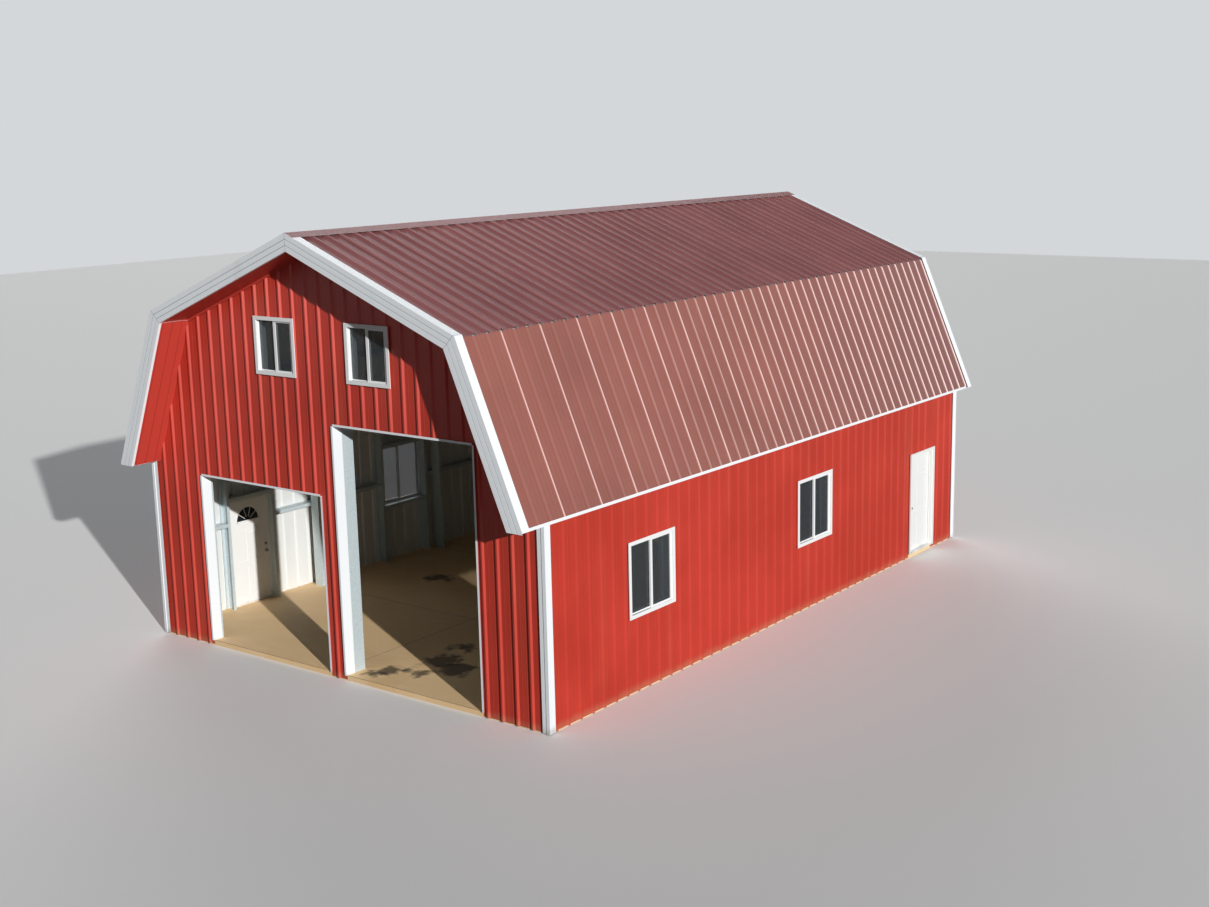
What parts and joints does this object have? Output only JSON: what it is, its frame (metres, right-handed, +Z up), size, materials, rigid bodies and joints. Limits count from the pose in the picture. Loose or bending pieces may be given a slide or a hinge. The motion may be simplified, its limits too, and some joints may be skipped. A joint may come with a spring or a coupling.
{
  "type": "gambrel roof steel barn",
  "caption": "Gambrel-roofed steel barn on a slab: ribbed sheet walls and roof, white trim, open framed doorways, sliding windows and hinged side doors.",
  "frame": {"origin": "on the ground under the middle of the roof's length and width", "axes": "+X to the right seen from the front, +Y from the front gable to the rear one, +Z up"},
  "size_m": [9.39, 15.281, 7.5144],
  "materials": {
    "slab": "trowelled concrete, dusty and stained",
    "galvanised_steel": "spangled galvanised",
    "wall_sheet": "satin red outside, white inside",
    "roof_sheet": "satin burgundy outside, white inside",
    "white_trim": "satin white",
    "soffit": "satin red",
    "window_vinyl": "smooth white vinyl",
    "window_glass": "dark tinted",
    "door_paint": "satin white",
    "door_metal": "satin nickel"
  },
  "bodies": {
    "barn": {"side_columns": "galvanised_steel", "gable_posts": "galvanised_steel", "lower_rafters": "galvanised_steel", "upper_rafters": "galvanised_steel", "frame_gussets": "galvanised_steel", "side_girts": "galvanised_steel", "gable_girts": "galvanised_steel", "lower_purlins": "galvanised_steel", "upper_purlins": "galvanised_steel", "opening_studs": "galvanised_steel", "front_wall_left_sheets": "wall_sheet", "front_wall_right_sheets": "wall_sheet", "front_wall_pier_sheet": "wall_sheet", "small_opening_head_sheets": "wall_sheet", "large_opening_head_sheets": "wall_sheet", "rear_wall_sheets": "wall_sheet", "right_wall_front_sheets": "wall_sheet", "right_wall_rear_sheets": "wall_sheet", "right_door_head_sheet": "wall_sheet", "left_wall_rear_sheets": "wall_sheet", "left_wall_front_sheets": "wall_sheet", "left_door_head_sheet": "wall_sheet", "right_lower_roof_sheets": "roof_sheet", "left_lower_roof_sheets": "roof_sheet", "right_upper_roof_sheets": "roof_sheet", "left_upper_roof_sheets": "roof_sheet", "ridge_cap": "roof_sheet", "front_rake_trim": "white_trim", "rear_rake_trim": "white_trim", "eave_trim": "white_trim", "corner_trim": "white_trim", "opening_trim": "white_trim", "floor_slab": "slab", "soffit_sheets": "soffit", "window_frames": "window_vinyl", "window_glass": "window_glass", "right_door_frame": "door_paint", "left_door_frame": "door_paint", "jamb_hinges": "door_metal"},
    "right_door": {"right_door_leaf": "door_paint", "right_door_hardware": "door_metal"},
    "left_door": {"left_door_leaf": "door_paint", "left_door_hardware": "door_metal", "fan_light_glass": "window_glass"}
  },
  "joints": [
    {"name": "right_door_hinge", "type": "hinge", "parent": "barn", "child": "right_door", "pos_m": [4.4823, 5.92, 0.115], "axis": [0, 0, -1], "range_deg": [0, 90]},
    {"name": "left_door_hinge", "type": "hinge", "parent": "barn", "child": "left_door", "pos_m": [-4.4823, -5.516, 0.115], "axis": [0, 0, -1], "range_deg": [0, 90]}
  ]
}
